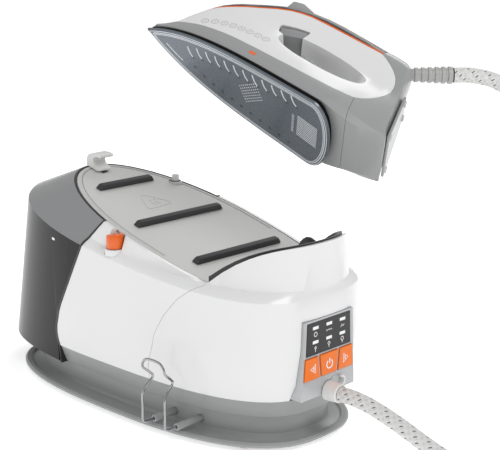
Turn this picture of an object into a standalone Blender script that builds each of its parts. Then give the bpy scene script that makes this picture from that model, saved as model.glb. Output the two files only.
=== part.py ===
"""Steam generator iron: a pressure base station, a hand iron and the steam hose between them.

Metres, +Z up. The base station is long along X: its water tank is at -X and its control panel at +X.
The iron has its own frame, with its tip at -X and its sole at z = 0. That frame hangs on an empty that stands
on the axis on which the iron is carried between its rest and the hand.
"""

import math

import bmesh
import bpy
from mathutils import Matrix, Vector

# Where the middle of the base station stands, so that the whole object is centred on the origin.
BASE_X, BASE_Y = -0.00390, -0.02594
GAP = 0.0003  # clearance between pieces that touch
WALL = 0.003

# Rest plate: a sloping plane, rising towards the tank.
PLATE_Z = 0.1812  # height of the plate's face at x = 0
PLATE_TILT = math.radians(14.65)
PLATE_THICK = 0.003
PLATE_MIDDLE = 0.03
PLATE_NOSE, PLATE_HEEL, PLATE_HALF_WIDTH = 0.155, 0.1570, 0.0775
RIDGE_X = (-0.0740, 0.0062, 0.0864)
RIDGE_HALF_LENGTH = (0.0365, 0.0570, 0.0570)
RIDGE_WIDTH, RIDGE_HEIGHT = 0.0090, 0.0053

# White housing.
SKIRT_TOP = 0.0465
HOUSING_LENGTH, HOUSING_HALF_WIDTH = 0.2000, 0.0945
RIM_LENGTH, RIM_HALF_WIDTH = 0.195, 0.088
RIM_START, RIM_LOW, RIM_HIGH = 0.122, 0.1502, 0.1878

SEAM = (
    (0.0545, 0.041), (0.0557, 0.054), (0.0582, 0.065), (0.0637, 0.079), (0.0697, 0.096), (0.0817, 0.116),
    (0.0988, 0.1345), (0.1165, 0.147), (0.1242, 0.151), (0.1242, 0.300),
)

# Grey pan under it.
FLANGE_LENGTH, FLANGE_HALF_WIDTH = 0.198, 0.098
FOOT_HEIGHT = 0.0027

# Water tank.
TANK_BOTTOM = 0.0270
TANK_LENGTH, TANK_HALF_WIDTH = 0.222, 0.0875
GASKET = 0.0022
TANK_BORDER = (
    (-0.0815, 0.0), (-0.0820, 0.055), (-0.0790, 0.070), (-0.0725, 0.086), (-0.0560, 0.116), (-0.0275, 0.166),
    (-0.0120, 0.190), (0.0500, 0.300),
)

# Control panel, on the +X end.
PANEL_X = 0.2005
PANEL_TOP, PANEL_BOTTOM = 0.1215, 0.0480
PANEL_HALF_TOP, PANEL_HALF_BOTTOM = 0.0335, 0.0368
GLAND_Z = 0.0505
KNOB_X, KNOB_Y = 0.0088, -0.0853

# Iron.
SOLE_LENGTH, SOLE_HALF_WIDTH = 0.222, 0.0422
SOLE_THICK = 0.0032
TIP = -SOLE_LENGTH / 2
SHELL_BOTTOM = 0.0085
REAR = 0.1575  # the iron's rear end, from the middle of its sole
BODY_TIP, BODY_WIDEST, BODY_HALF_WIDTH = -0.1092, 0.0950, 0.0420
GRIP_HALF_WIDTH = 0.0172
SHELL_SEAM, COVER_START = 0.1235, 0.0880
PARKED_TIP_X = -0.1015
DIAL_X, DIAL_Z = 0.0430, 0.0470

# Side view of the iron, as (x, z) corners from the tip backwards: its upper edge, the grey shell's upper edge,
# the orange line, and the round rear end of the white handle from the bottom up.
BODY_TOP = (
    (-0.1092, 0.0120), (-0.0985, 0.0165), (-0.0885, 0.0255), (-0.0840, 0.0370), (-0.0740, 0.0560),
    (-0.0628, 0.0725), (-0.0540, 0.0820), (-0.0455, 0.0900), (-0.0340, 0.0990), (-0.0220, 0.1070),
    (-0.0080, 0.1135), (0.0050, 0.1175), (0.0200, 0.1205), (0.0365, 0.1220), (0.0680, 0.1228), (0.0890, 0.1230),
    (0.1000, 0.1238), (0.1100, 0.1232), (0.1165, 0.1205), (0.1205, 0.1140), (0.1575, 0.0185),
)
SHELL_TOP = (
    (-0.0886, 0.0175), (-0.0600, 0.0215), (-0.0300, 0.0235), (0.0000, 0.0240), (0.0300, 0.0250), (0.0600, 0.0268),
    (0.0900, 0.0292), (0.1020, 0.0318), (0.1100, 0.0350),
)
STRIPE = (
    (-0.0876, 0.0250), (-0.0862, 0.0288), (-0.0766, 0.0440), (-0.0670, 0.0536), (-0.0575, 0.0627), (-0.0470, 0.0729),
    (-0.0367, 0.0821), (-0.0250, 0.0912), (-0.0136, 0.0981), (-0.0030, 0.1023), (0.0079, 0.1050), (0.0240, 0.1067),
    (0.0436, 0.1080), (0.0877, 0.1109),
)
HANDLE_REAR = (
    (0.1100, 0.0353), (0.1148, 0.0405), (0.1185, 0.0470), (0.1218, 0.0555), (0.1236, 0.0645), (0.1236, 0.0730),
    (0.1218, 0.0809), (0.1189, 0.0875), (0.1149, 0.0932), (0.1090, 0.0985), (0.1017, 0.1033), (0.0950, 0.1067),
    (0.0877, 0.1097),
)

# Axis on which the iron is carried, and how far it is turned from the rest plate.
CARRY_POINT = Vector((0.0, 0.1245, 0.2655))
CARRY_AXIS = Vector((-0.8808, 0.0677, 0.4686)).normalized()
CARRY_ANGLE = math.radians(63.86)

# Steam hose: the turns of its coil lie side by side, with the last one on top of them.
HOSE_RADIUS = 0.0072
COIL_X, COIL_Y, COIL_RADIUS = 0.409, 0.135, 0.0770
COIL_HALF_WIDTH, COIL_HEIGHT = 2 * HOSE_RADIUS, 0.0270
BASE_RUN = (
    (0.2165, 0.0000, 0.0505), (0.2300, 0.0000, 0.0503), (0.2450, 0.0000, 0.0488), (0.2620, 0.0002, 0.0450),
    (0.2835, 0.0005, 0.0385), (0.3065, 0.0015, 0.0298), (0.3300, 0.0060, 0.0200), (0.3490, 0.0140, 0.0125),
    (0.3650, 0.0250, 0.0085), (0.3750, 0.0330, 0.0076),
)
RISER = (
    (0.4090, 0.2360, 0.0120), (0.3825, 0.2480, 0.0180), (0.3550, 0.2540, 0.0320), (0.3310, 0.2530, 0.0600),
    (0.3150, 0.2480, 0.1000), (0.3045, 0.2425, 0.1480), (0.2960, 0.2370, 0.1950), (0.2880, 0.2300, 0.2350),
    (0.2760, 0.2200, 0.2700), (0.2600, 0.2070, 0.2990), (0.2425, 0.1900, 0.3160), (0.2256, 0.1737, 0.3222),
    (0.2128, 0.1610, 0.3226),
)

COLLECTION = "steam_generator_iron"
CUTTERS = "cutters"


def start():
    for obj in list(bpy.data.objects):
        bpy.data.objects.remove(obj, do_unlink=True)
    for name in (COLLECTION, CUTTERS):
        group = bpy.data.collections.new(name)
        bpy.context.scene.collection.children.link(group)


def material(name, colour, roughness, metallic=0.0):
    found = bpy.data.materials.get(name)
    if found:
        return found
    made = bpy.data.materials.new(name)
    made.use_nodes = True
    shader = made.node_tree.nodes["Principled BSDF"]
    shader.inputs["Base Color"].default_value = (*colour, 1.0)
    shader.inputs["Roughness"].default_value = roughness
    shader.inputs["Metallic"].default_value = metallic
    return made


def finishes():
    return {
        "white": material("white_plastic", (0.86, 0.86, 0.86), 0.25),
        "grey": material("grey_plastic", (0.24, 0.245, 0.25), 0.35),
        "light_grey": material("light_grey_plastic", (0.50, 0.50, 0.48), 0.45),
        "silver": material("silver_plastic", (0.48, 0.49, 0.50), 0.35),
        "black": material("black_plastic", (0.035, 0.035, 0.038), 0.35),
        "rubber": material("black_rubber", (0.04, 0.04, 0.042), 0.7),
        "smoke": material("smoked_plastic", (0.045, 0.045, 0.048), 0.12),
        "orange": material("orange_plastic", (0.83, 0.10, 0.01), 0.3),
        "sole": material("soleplate", (0.16, 0.19, 0.22), 0.3, 0.8),
        "chrome": material("chrome", (0.75, 0.75, 0.75), 0.08, 1.0),
        "steel": material("steel", (0.55, 0.56, 0.57), 0.3, 1.0),
        "aluminium": material("aluminium", (0.62, 0.63, 0.64), 0.35, 1.0),
        "brass": material("brass", (0.68, 0.50, 0.22), 0.3, 1.0),
        "green": material("circuit_board", (0.02, 0.16, 0.07), 0.5),
        "hose": material("braided_hose", (0.80, 0.80, 0.79), 0.8),
    }


def link(obj, finish, frame, name=COLLECTION):
    bpy.data.collections[name].objects.link(obj)
    if finish:
        obj.data.materials.append(FINISH[finish])
    obj.parent = frame
    return obj


def mesh_object(name, bm, finish, frame, smooth=True, collection=COLLECTION):
    bmesh.ops.recalc_face_normals(bm, faces=bm.faces)
    if bm.calc_volume(signed=True) < 0:
        bmesh.ops.reverse_faces(bm, faces=bm.faces)
    mesh = bpy.data.meshes.new(name)
    bm.to_mesh(mesh)
    bm.free()
    if smooth:
        mesh.shade_smooth()
        mesh.set_sharp_from_angle(angle=math.radians(35))
    return link(bpy.data.objects.new(name, mesh), finish, frame, collection)


def empty(name, parent, matrix):
    obj = bpy.data.objects.new(name, None)
    bpy.data.collections[COLLECTION].objects.link(obj)
    obj.parent = parent
    obj.matrix_basis = matrix
    return obj


def signed_power(value, power):
    return math.copysign(abs(value) ** power, value)


def superellipse(front, rear, half_width, power, middle=0.0, count=64, rear_power=None):
    """Points of a closed outline: 'front' long towards +X and 'rear' long towards -X."""
    points = []
    for i in range(count):
        turn = 2 * math.pi * i / count
        c, s = math.cos(turn), math.sin(turn)
        ahead = c >= 0
        n = 2 / (power if ahead or rear_power is None else rear_power)
        reach = front if ahead else rear
        points.append((middle + reach * signed_power(c, n), half_width * signed_power(s, n)))
    return points


def level(outline, height):
    """A ring of the outline's points, at a height that may be a function of x."""
    if callable(height):
        return [Vector((x, y, height(x))) for x, y in outline]
    return [Vector((x, y, height)) for x, y in outline]


def shrink(outline, by, middle=0.0):
    """The outline moved inwards by a distance, along its own normals."""
    count = len(outline)
    moved = []
    for i, (x, y) in enumerate(outline):
        ax, ay = outline[i - 1]
        bx, by_ = outline[(i + 1) % count]
        along = Vector((bx - ax, by_ - ay)).normalized()
        moved.append((x - along.y * by, y + along.x * by))
    return moved


def loft_mesh(rings, loop=False):
    bm = bmesh.new()
    rows = [[bm.verts.new(point) for point in ring] for ring in rings]
    count = len(rows[0])
    pairs = list(zip(rows, rows[1:]))
    if loop:
        pairs.append((rows[-1], rows[0]))
    for low, high in pairs:
        for i in range(count):
            j = (i + 1) % count
            bm.faces.new((low[i], low[j], high[j], high[i]))
    if not loop:
        bm.faces.new(list(reversed(rows[0])))
        bm.faces.new(rows[-1])
    return bm


def loft(name, rings, finish, frame, loop=False, collection=COLLECTION):
    return mesh_object(name, loft_mesh(rings, loop), finish, frame, collection=collection)


def box(name, low, high, finish, frame, bevel=0.0, collection=COLLECTION):
    bm = bmesh.new()
    bmesh.ops.create_cube(bm, size=1.0)
    size = Vector(high) - Vector(low)
    bmesh.ops.scale(bm, vec=size, verts=bm.verts)
    bmesh.ops.translate(bm, vec=(Vector(low) + Vector(high)) / 2, verts=bm.verts)
    obj = mesh_object(name, bm, finish, frame, smooth=False, collection=collection)
    if bevel:
        soften(obj, bevel)
    return obj


def soften(obj, width, segments=2):
    bevel = obj.modifiers.new("rounded_edges", "BEVEL")
    bevel.width = width
    bevel.segments = segments
    bevel.limit_method = "ANGLE"
    bevel.angle_limit = math.radians(40)


def cylinder(name, start_point, end_point, radius, finish, frame, sides=24, bevel=0.0, collection=COLLECTION):
    a, b = Vector(start_point), Vector(end_point)
    bm = bmesh.new()
    bmesh.ops.create_cone(
        bm, cap_ends=True, segments=sides, radius1=radius, radius2=radius, depth=(b - a).length
    )
    turn = Vector((0, 0, 1)).rotation_difference(b - a).to_matrix().to_4x4()
    bmesh.ops.transform(bm, matrix=Matrix.Translation((a + b) / 2) @ turn, verts=bm.verts)
    obj = mesh_object(name, bm, finish, frame, collection=collection)
    if bevel:
        soften(obj, bevel)
    return obj


def prism(name, points, half_depth, finish=None, frame=None, collection=CUTTERS, axis="Y", middle=0.0):
    """An outline in the XZ plane made solid along Y, or one in the YZ plane made solid along X."""
    bm = bmesh.new()
    if axis == "Y":
        flat = [bm.verts.new((a, middle - half_depth, b)) for a, b in points]
        step = Vector((0, 2 * half_depth, 0))
    else:
        flat = [bm.verts.new((middle - half_depth, a, b)) for a, b in points]
        step = Vector((2 * half_depth, 0, 0))
    face = bm.faces.new(flat)
    moved = bmesh.ops.extrude_face_region(bm, geom=[face])
    bmesh.ops.translate(bm, vec=step, verts=[v for v in moved["geom"] if isinstance(v, bmesh.types.BMVert)])
    return mesh_object(name, bm, finish, frame, smooth=False, collection=collection)


def hide(cutter):
    cutter.hide_render = True
    cutter.display_type = "WIRE"
    return cutter


def boolean(obj, other, operation="DIFFERENCE"):
    hide(other)
    modifier = obj.modifiers.new(operation.lower(), "BOOLEAN")
    modifier.operation = operation
    modifier.object = other
    modifier.solver = "EXACT"
    return obj


def smooth_path(points, step):
    """Points at an even step along a Catmull-Rom curve through the given points."""
    route = [Vector(p) for p in points]
    route = [2 * route[0] - route[1]] + route + [2 * route[-1] - route[-2]]
    fine = []
    for a, b, c, d in zip(route, route[1:], route[2:], route[3:]):
        for i in range(24):
            t = i / 24
            fine.append(
                0.5 * (2 * b + (c - a) * t + (2 * a - 5 * b + 4 * c - d) * t**2 + (3 * b - a - 3 * c + d) * t**3)
            )
    fine.append(route[-2])
    total = sum((q - p).length for p, q in zip(fine, fine[1:]))
    count = max(2, round(total / step))
    even, walked, goal = [fine[0]], 0.0, total / count
    for p, q in zip(fine, fine[1:]):
        length = (q - p).length
        while walked + length >= goal * len(even) and len(even) < count:
            even.append(p.lerp(q, (goal * len(even) - walked) / length))
        walked += length
    even.append(fine[-1])
    return even


def tube(name, points, radius, finish, frame, resolution=2, collection=COLLECTION):
    curve = bpy.data.curves.new(name, "CURVE")
    curve.dimensions = "3D"
    curve.bevel_depth = radius
    curve.bevel_resolution = resolution
    curve.use_fill_caps = True
    spline = curve.splines.new("POLY")
    spline.points.add(len(points) - 1)
    for target, point in zip(spline.points, points):
        target.co = (*point, 1.0)
    return link(bpy.data.objects.new(name, curve), finish, frame, collection)


def turned(name, profile, axis_point, axis, finish, frame, steps=32):
    """A profile of (radius, height) pairs, turned on an axis."""
    mesh = bpy.data.meshes.new(name)
    points = [(radius, 0.0, height) for radius, height in profile]
    edges = [(i, i + 1) for i in range(len(points) - 1)]
    mesh.from_pydata(points, edges, [])
    obj = link(bpy.data.objects.new(name, mesh), finish, frame)
    turn = Vector((0, 0, 1)).rotation_difference(Vector(axis)).to_matrix().to_4x4()
    obj.matrix_basis = Matrix.Translation(axis_point) @ turn
    screw = obj.modifiers.new("turned", "SCREW")
    screw.steps = screw.render_steps = steps
    screw.use_merge_vertices = True
    screw.merge_threshold = 0.00005
    screw.use_smooth_shade = True
    return obj


# Base station: surfaces that several pieces share.


def plate_face(x):
    return PLATE_Z - math.tan(PLATE_TILT) * x


def crease(x):
    """Height of the edge between the housing's side and its shoulder."""
    return 0.157 - 0.13 * x + 0.25 * x * x


def rim_reach(x):
    """1 where the heel cup's edge starts, and 0 at its far end."""
    return min(1.0, max(0.0, (RIM_LENGTH - x) / (RIM_LENGTH - RIM_START)))


def rim(x):
    """Height of the heel cup's edge: it climbs from the plate's level to the full height."""
    return RIM_LOW + (RIM_HIGH - RIM_LOW) * (1 - rim_reach(x) ** 1.75)


def along(line, x):
    """Height at x of a line that runs through corners given as (x, z), from the smallest x on."""
    for (x0, z0), (x1, z1) in zip(line, line[1:]):
        if x <= x1:
            share = max(0.0, (x - x0) / (x1 - x0))
            return z0 + (z1 - z0) * share
    return line[-1][1]


def plate_outline(grow=0.0, heel=PLATE_HEEL):
    outline = superellipse(heel, PLATE_NOSE, PLATE_HALF_WIDTH, 2.65, PLATE_MIDDLE, rear_power=2.0)
    return shrink(outline, -grow) if grow else outline


def rim_outline(inset=0.0):
    return superellipse(RIM_LENGTH - inset, RIM_LENGTH - inset, RIM_HALF_WIDTH - inset, 2.65)


def top_edge(grow, inset):
    """The housing's top edge: round the plate, and from the cup's start on along its rim."""
    ring = []
    for (px, py), (rx, ry) in zip(plate_outline(grow), rim_outline(inset)):
        share = min(1.0, max(0.0, (rx - RIM_START + 0.022) / 0.022))
        share = share * share * (3 - 2 * share)
        x, y = px + (rx - px) * share, py + (ry - py) * share
        low = plate_face(x)
        ring.append(Vector((x, y, low + (max(rim(x), low) - low) * share)))
    return ring


def housing_rings(inset=0.0):
    """Outer surface of the white housing from its lower edge up, or the same moved inwards."""
    a, b = HOUSING_LENGTH - inset, HOUSING_HALF_WIDTH - inset
    lower = superellipse(a - 0.0075, a, b - 0.0077, 2.9)
    flank = superellipse(a - 0.0025, a, b - 0.0040, 3.1)
    belly = superellipse(a, a, b - 0.0010, 3.3)
    edge = superellipse(a - 0.0005, a, b, 3.3)
    round_edge = superellipse(a - 0.0022, a, b - 0.0022, 3.2)
    return [
        level(lower, SKIRT_TOP),
        level(flank, 0.062),
        level(belly, 0.095),
        level(belly, 0.120),
        level(edge, lambda x: crease(x) - inset),
        level(round_edge, lambda x: crease(x) + 0.0035 - inset),
    ]


def shoulder_ring(inset=0.0):
    """The ledge at the foot of the cup's wall, and the middle of the shoulder beside the plate."""
    ring = []
    outer = superellipse(RIM_LENGTH + 0.002 - inset, 0.19, RIM_HALF_WIDTH + 0.0005 - inset, 2.8)
    for x, y in outer:
        ring.append(Vector((x, y, crease(x) + 0.0075 - inset)))
    return ring


def base_pan(base):
    flange = superellipse(FLANGE_LENGTH, FLANGE_LENGTH, FLANGE_HALF_WIDTH, 2.63)
    channel = superellipse(0.180, 0.184, 0.0755, 2.7)
    skirt_low = superellipse(0.1865, 0.190, 0.0805, 2.8)
    skirt_top = superellipse(0.1915, 0.198, 0.0862, 2.9)
    rings = [
        level(shrink(flange, 0.0030), 0.0030),
        level(flange, 0.0052),
        level(flange, 0.0072),
        level(shrink(flange, 0.0020), 0.0088),
        level(shrink(flange, 0.0065), 0.0084),
        level(shrink(flange, 0.0085), 0.0066),
        level(shrink(channel, -0.0030), 0.0080),
        level(channel, 0.0105),
        level(channel, 0.0285),
        level(skirt_low, 0.0295),
        level(skirt_top, SKIRT_TOP - GAP),
        level(shrink(skirt_top, 0.0030), SKIRT_TOP - GAP),
        level(shrink(skirt_low, 0.0032), 0.0310),
        level(shrink(channel, 0.0030), 0.0270),
        level(shrink(channel, 0.0030), 0.0062),
    ]
    pan = loft("base_pan", rings, "grey", base)
    under_tank = box(
        "cut_under_tank", (-0.30, -0.15, TANK_BOTTOM - GAP), (-0.0812, 0.15, 0.08), None, base, collection=CUTTERS
    )
    boolean(pan, under_tank)
    for i, (x, y) in enumerate(((-0.150, -0.055), (-0.150, 0.055), (0.150, -0.055), (0.150, 0.055)), 1):
        cylinder(f"foot_{i}", (x, y, 0.0), (x, y, FOOT_HEIGHT), 0.010, "rubber", base, 20)
    return pan


def column(points_low, points_high, name, base):
    return loft(name, [points_low, points_high], None, base, collection=CUTTERS)


def xz_region(name, edge, shift, x_far, base):
    """Everything between an edge that runs upwards, moved by a distance, and a far x."""
    points = [(x + shift, z) for x, z in edge] + [(x_far, edge[-1][1]), (x_far, edge[0][1])]
    return prism(name, points, 0.16, None, base)


def housings(base):
    outer = housing_rings() + [shoulder_ring(), top_edge(0.0040, 0.0)]
    inner = [top_edge(0.0005, 0.0035), shoulder_ring(0.0035)] + list(reversed(housing_rings(WALL)))
    tank_side = xz_region("cut_tank_side", TANK_BORDER, GAP, -0.30, base)
    front_side = xz_region("cut_front_side", SEAM, -GAP, 0.30, base)
    rear_side = xz_region("cut_rear_side", SEAM, GAP / 2, -0.30, base)
    side = loft("side_housing", outer + inner, "white", base, loop=True)
    front = loft("front_housing", outer + inner, "white", base, loop=True)
    deck = column(
        level(plate_outline(0.0020), lambda x: plate_face(x) - 0.0068),
        level(plate_outline(0.0020), lambda x: plate_face(x) - PLATE_THICK - 2 * GAP),
        "form_deck",
        base,
    )
    boolean(side, deck, "UNION")
    boolean(side, tank_side)
    boolean(side, front_side)
    boolean(front, rear_side)
    panel_hole = prism(
        "cut_panel",
        [
            (-PANEL_HALF_BOTTOM - GAP, PANEL_BOTTOM),
            (-PANEL_HALF_BOTTOM - GAP, 0.030),
            (PANEL_HALF_BOTTOM + GAP, 0.030),
            (PANEL_HALF_BOTTOM + GAP, PANEL_BOTTOM),
            (PANEL_HALF_TOP + GAP, PANEL_TOP + GAP),
            (-PANEL_HALF_TOP - GAP, PANEL_TOP + GAP),
        ],
        0.02,
        None,
        base,
        axis="X",
        middle=0.205,
    )
    boolean(front, panel_hole)
    return side, front


def rest_plate(base):
    outline = plate_outline()
    rings = [
        level(shrink(outline, 0.0012), lambda x: plate_face(x) - PLATE_THICK),
        level(outline, lambda x: plate_face(x) - PLATE_THICK + 0.0008),
        level(outline, lambda x: plate_face(x) - 0.0010),
        level(shrink(outline, 0.0008), lambda x: plate_face(x) - 0.0002),
        level(shrink(outline, 0.0022), plate_face),
    ]
    plate = loft("rest_plate", rings, "light_grey", base)
    slot = box("cut_catch_slot", (-0.1214, -0.0042, 0.15), (-0.1048, 0.0042, 0.26), None, base, collection=CUTTERS)
    boolean(plate, slot)
    boss = cylinder("cut_boss", (-0.0590, 0.0560, 0.15), (-0.0590, 0.0560, 0.26), 0.0070 + GAP, None, base,
                    collection=CUTTERS)
    boolean(plate, boss)
    return plate


def slope_matrix(x, y=0.0, lift=0.0):
    """A place on the plate's face, turned with it."""
    turn = Matrix.Rotation(PLATE_TILT, 4, "Y")
    return Matrix.Translation((x, y, plate_face(x))) @ turn @ Matrix.Translation((0, 0, lift))


def ridges(base):
    for i, (x, half) in enumerate(zip(RIDGE_X, RIDGE_HALF_LENGTH), 1):
        bm = bmesh.new()
        bmesh.ops.create_cube(bm, size=1.0)
        bmesh.ops.scale(bm, vec=(RIDGE_WIDTH, 2 * half, RIDGE_HEIGHT), verts=bm.verts)
        for v in bm.verts:
            if v.co.z > 0:
                v.co.x *= 0.72
                v.co.y *= 1 - 0.0035 / half
        ridge = mesh_object(f"rest_ridge_{i}", bm, "rubber", base, smooth=False)
        ridge.matrix_basis = slope_matrix(x, 0.0, RIDGE_HEIGHT / 2 + GAP)
        soften(ridge, 0.0012)


def liner_top(x):
    """The dark liner stands above the white edge, most where the cup starts."""
    return max(rim(x), plate_face(x)) + 0.0012 + 0.0054 * rim_reach(x) ** 1.2


def heel_guide(base):
    """A rounded block beside the iron's heel, on the far side of the cup."""
    bm = bmesh.new()
    bmesh.ops.create_uvsphere(bm, u_segments=24, v_segments=12, radius=1.0)
    bmesh.ops.scale(bm, vec=(0.0140, 0.0080, 0.0190), verts=bm.verts)
    guide = mesh_object("heel_guide", bm, "black", base)
    guide.location = (0.1235, 0.0600, 0.1500)
    low = [(x, plate_face(x) + GAP) for x in (0.09, 0.16)]
    boolean(guide, prism("cut_guide_foot", low + [(0.16, 0.0), (0.09, 0.0)], 0.1, None, base))


def heel_cup_liner(base):
    outer = rim_outline(0.0038)
    inner = rim_outline(0.0062)
    rings = [
        level(outer, lambda x: plate_face(x) + 0.0006),
        level(outer, liner_top),
        level(inner, liner_top),
        level(inner, lambda x: plate_face(x) + 0.0006),
    ]
    liner = loft("heel_cup_liner", rings, "black", base, loop=True)
    boolean(liner, box("cut_liner", (-0.30, -0.15, 0.0), (RIM_START, 0.15, 0.4), None, base,
                       collection=CUTTERS))
    return liner


def gaskets(base):
    form = loft(
        "form_gasket",
        [level(superellipse(0.20, 0.20, 0.0860, 2.9), TANK_BOTTOM + 0.0005)]
        + housing_rings(-0.0006)
        + [shoulder_ring(-0.0006), level(plate_outline(0.0040), lambda x: plate_face(x) + 0.0004)],
        None,
        base,
        collection=CUTTERS,
    )
    slab = list(TANK_BORDER) + [(x - GASKET, z) for x, z in reversed(TANK_BORDER)]
    wall = prism("tank_gasket", slab, 0.14, "black", base, collection=COLLECTION)
    boolean(wall, form, "INTERSECT")
    under_plate = column(
        level(plate_outline(0.0006), lambda x: plate_face(x) - 0.0100),
        level(plate_outline(0.0006), lambda x: plate_face(x) + 0.08),
        "cut_gasket_plate",
        base,
    )
    boolean(wall, under_plate)
    strip = loft(
        "nose_gasket",
        [
            level(plate_outline(0.0004), lambda x: plate_face(x) - 0.0090),
            level(plate_outline(0.0022), lambda x: plate_face(x) - 0.0090),
            level(plate_outline(0.0022), lambda x: plate_face(x) - 0.0004),
            level(plate_outline(0.0004), lambda x: plate_face(x) + 0.0002),
        ],
        "black",
        base,
        loop=True,
    )
    boolean(strip, xz_region("cut_strip", TANK_BORDER, -GASKET - GAP, 0.30, base))
    return wall


def tank_form(name, inset, finish, base, collection):
    foot = superellipse(TANK_LENGTH - inset, TANK_LENGTH - inset, TANK_HALF_WIDTH - inset, 2.6)
    shoulder = superellipse(0.187 - inset, 0.187 - inset, HOUSING_HALF_WIDTH - 0.0005 - inset, 2.45)
    top = shrink(plate_outline(0.0026, 0.1400), inset)
    rings = [
        level(shrink(foot, 0.004), TANK_BOTTOM + inset),
        level(foot, TANK_BOTTOM + 0.003 + inset),
        level(shoulder, lambda x: crease(x) - inset),
        level(shrink(shoulder, 0.0022), lambda x: crease(x) + 0.0028 - inset),
        level(top, lambda x: plate_face(x) - 0.0004 - inset),
    ]
    return loft(name, rings, finish, base, collection=collection)


def water_tank(base):
    tank = tank_form("water_tank", 0.0, "smoke", base, COLLECTION)
    cavity = tank_form("form_tank_cavity", 0.0026, None, base, CUTTERS)
    recess = column(
        level(plate_outline(0.0026), lambda x: plate_face(x) - 0.0100),
        level(plate_outline(0.0026), lambda x: plate_face(x) + 0.08),
        "cut_tank_recess",
        base,
    )
    wider = column(
        level(plate_outline(0.0055), lambda x: plate_face(x) - 0.0130),
        level(plate_outline(0.0055), lambda x: plate_face(x) + 0.08),
        "cut_cavity_recess",
        base,
    )
    boolean(cavity, wider)
    boolean(cavity, xz_region("cut_cavity_side", TANK_BORDER, -GASKET - GAP - 0.0026, 0.30, base))
    mouth = box("cut_tank_mouth", (-0.09, -0.022, 0.135), (0.0, 0.022, 0.158), None, base, collection=CUTTERS)
    boolean(tank, recess)
    boolean(tank, xz_region("cut_tank_front", TANK_BORDER, -GASKET - GAP, 0.30, base))
    boolean(tank, cavity)
    boolean(tank, mouth)
    return tank


def nose_catch(base):
    """A hook that stands at the plate's nose, with its lip towards +X."""
    z0 = plate_face(-0.122)
    profile = [
        (-0.1254, z0 + 0.0020),
        (-0.1094, z0 - 0.0022),
        (-0.1059, z0 - 0.0022),
        (-0.1059, z0 - 0.0002),
        (-0.1139, z0 + 0.0040),
        (-0.1154, z0 + 0.0075),
        (-0.1142, z0 + 0.0105),
        (-0.1094, z0 + 0.0122),
        (-0.1034, z0 + 0.0118),
        (-0.1016, z0 + 0.0128),
        (-0.1020, z0 + 0.0148),
        (-0.1064, z0 + 0.0160),
        (-0.1149, z0 + 0.0162),
        (-0.1219, z0 + 0.0142),
        (-0.1249, z0 + 0.0105),
    ]
    hook = prism("nose_catch", profile, 0.0085, "light_grey", base, collection=COLLECTION)
    stem = box("form_catch_stem", (-0.1208, -0.0038, z0 - 0.0062), (-0.1134, 0.0038, z0 + 0.006), None, base,
               collection=CUTTERS)
    boolean(hook, stem, "UNION")
    soften(hook, 0.0007, 1)
    return hook


def catch_button(base):
    x, y = -0.0590, 0.0560
    z = plate_face(x)
    turned(
        "catch_button_boss",
        [(0.0040, 0.0016), (0.0056, 0.0016), (0.0068, 0.0004), (0.0068, -0.0072), (0.0040, -0.0072), (0.0040, 0.0016)],
        (x, y, z), (0, 0, 1), "light_grey", base, 24,
    )
    cylinder("catch_button", (x, y, z - 0.0024), (x, y, z + 0.0085), 0.0037, "white", base, 20, 0.0010)


def steam_knob(base):
    x, y, z = KNOB_X, KNOB_Y, 0.1600
    turned(
        "knob_collar",
        [(0.0060, 0.0046), (0.0096, 0.0046), (0.0100, 0.0040), (0.0100, -0.0012), (0.0060, -0.0012), (0.0060, 0.0046)],
        (x, y, z), (0, 0, 1), "silver", base, 28,
    )
    knob = cylinder("steam_knob", (x, y, z + 0.0049), (x, y, z + 0.0200), 0.0082, "orange", base, 28)
    top = prism(
        "cut_knob_top",
        [(x - 0.02, z + 0.0150), (x + 0.02, z + 0.0215), (x + 0.02, z + 0.03), (x - 0.02, z + 0.03)],
        0.02, None, base, middle=y,
    )
    boolean(knob, top)
    soften(knob, 0.0010)
    return knob


def knob_seat(side, base):
    seat = cylinder("cut_knob_seat", (KNOB_X, KNOB_Y, 0.1585), (KNOB_X, KNOB_Y, 0.1900), 0.0104, None, base, 32,
                    collection=CUTTERS)
    boolean(side, seat)


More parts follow.
